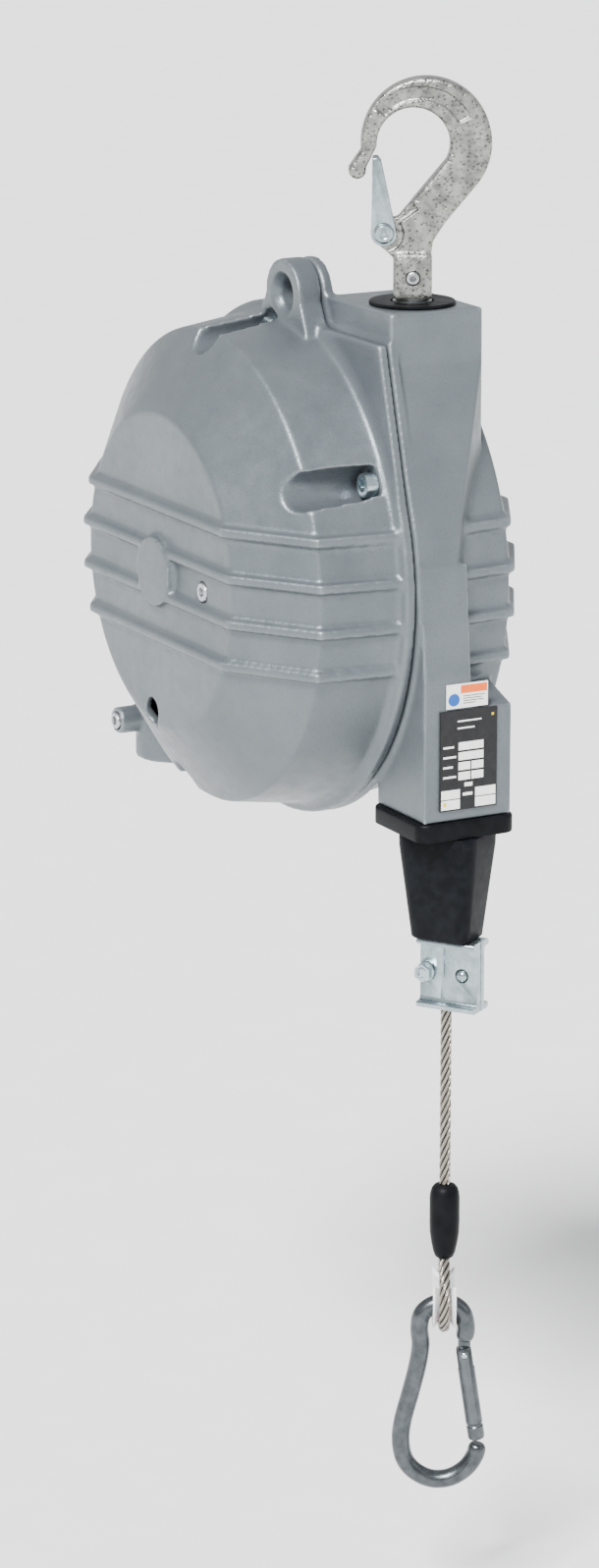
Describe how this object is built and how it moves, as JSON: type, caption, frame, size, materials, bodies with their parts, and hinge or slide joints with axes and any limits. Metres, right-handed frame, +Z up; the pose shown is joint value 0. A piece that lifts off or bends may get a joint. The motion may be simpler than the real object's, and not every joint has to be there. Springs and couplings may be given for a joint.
{
  "type": "spring tool balancer",
  "caption": "Spring balancer that hangs a tool from a wire rope: round cast casing with drum and wound spring, swivel safety hook on top, snap hook below.",
  "frame": {"origin": "where the top hook bears on what it hangs from, on the swivel axis", "axes": "+Z up along the swivel axis; +Y along the drum axis from the front cover to the rear of the casing; +X towards the side that carries the neck, rope guide and rating plate"},
  "size_m": [0.2256, 0.1345, 0.5928],
  "materials": {
    "cast_grey": "die-cast, fine blasted grey finish",
    "forged_zinc": "drop-forged with zinc coating",
    "bright_zinc": "bright zinc plated",
    "steel": "machined",
    "wire_rope": "stranded wire",
    "spring_steel": "blued strip",
    "machined_alloy": "machined",
    "bronze": "sintered bronze",
    "black_plastic": "moulded",
    "black_rubber": "moulded",
    "pale_plastic": "moulded, slightly see-through",
    "plate_black": null,
    "label_white": null
  },
  "bodies": {
    "hook": {"top_hook": "forged_zinc", "hook_pin": "steel", "swivel_stem": "steel", "latch_rivet": "bright_zinc"},
    "latch": {"hook_latch": "bright_zinc"},
    "casing": {"main_housing": "cast_grey", "front_cover": "cast_grey", "neck_washer": "black_plastic", "thrust_bearing": "steel", "cover_screw_1": "bright_zinc", "cover_screw_2": "bright_zinc", "cover_screw_3": "bright_zinc", "cover_screw_4": "bright_zinc", "cover_screw_5": "bright_zinc", "front_bearing": "steel", "rear_bearing": "steel", "case_bush": "bronze", "set_screw": "steel", "lock_plug": "steel", "rope_bush": "pale_plastic", "guide_collar": "black_plastic", "rating_plate": "plate_black", "caution_label": "label_white"},
    "drum": {"cable_drum": "machined_alloy", "rope_coil": "wire_rope", "drum_shaft": "steel", "shaft_key": "steel", "rope_anchor": "steel", "spring_arbor": "steel"},
    "spring_case": {"spring_case": "machined_alloy", "case_lid": "machined_alloy", "power_spring": "spring_steel"},
    "worm": {"worm_shaft": "steel"},
    "rope_end": {"rope_fall": "wire_rope", "stop_bumper": "black_rubber", "clamp_plate_front": "bright_zinc", "clamp_plate_rear": "bright_zinc", "clamp_bolt": "bright_zinc", "clamp_stud": "bright_zinc", "clamp_nut": "steel", "rope_sleeve": "black_plastic", "thimble": "pale_plastic", "rope_eye": "wire_rope"},
    "snap_hook": {"snap_hook": "bright_zinc", "gate_pin": "steel"},
    "gate": {"snap_gate": "bright_zinc"}
  },
  "joints": [
    {"name": "hook_swivel", "type": "hinge", "parent": "hook", "child": "casing", "pos_m": [0, 0, -0.0929], "axis": [0, 0, 1], "continuous": true},
    {"name": "latch_hinge", "type": "hinge", "parent": "hook", "child": "latch", "pos_m": [-0.00549, -0.01033, -0.0503], "axis": [-0.8829, 0.4695, 0], "range_deg": [0, 28], "stiffness_Nm_per_rad": 0.02, "springref_deg": -20.05},
    {"name": "drum_spin", "type": "hinge", "parent": "casing", "child": "drum", "pos_m": [-0.062, -0.0225, -0.1929], "axis": [0, 1, 0], "range_deg": [0, 1348], "stiffness_Nm_per_rad": 0.05, "springref_deg": -5156.62},
    {"name": "rope_travel", "type": "slide", "parent": "casing", "child": "rope_end", "axis": [0, 0, -1], "range_m": [0, 2], "deforming": ["rope_fall"]},
    {"name": "case_turn", "type": "hinge", "parent": "casing", "child": "spring_case", "pos_m": [-0.062, -0.0225, -0.1929], "axis": [0, 1, 0], "range_deg": [0, 360]},
    {"name": "worm_turn", "type": "hinge", "parent": "casing", "child": "worm", "pos_m": [-0.155, -0.0305, -0.1929], "axis": [0, 0, 1], "range_deg": [-23760, 0]},
    {"name": "snap_swing", "type": "hinge", "parent": "rope_end", "child": "snap_hook", "pos_m": [0.033, -0.0005, -0.4974], "axis": [0.4695, 0.8829, 0], "range_deg": [-60, 60]},
    {"name": "gate_swing", "type": "hinge", "parent": "snap_hook", "child": "gate", "pos_m": [0.03708, 0.00718, -0.5199], "axis": [-0.8829, 0.4695, 0], "range_deg": [0, 25], "stiffness_Nm_per_rad": 0.03, "springref_deg": -22.92}
  ],
  "couplings": [
    {"joint": "rope_travel", "follows": "drum_spin", "m_per_rad": 0.085},
    {"joint": "worm_turn", "follows": "case_turn", "ratio": -66}
  ]
}
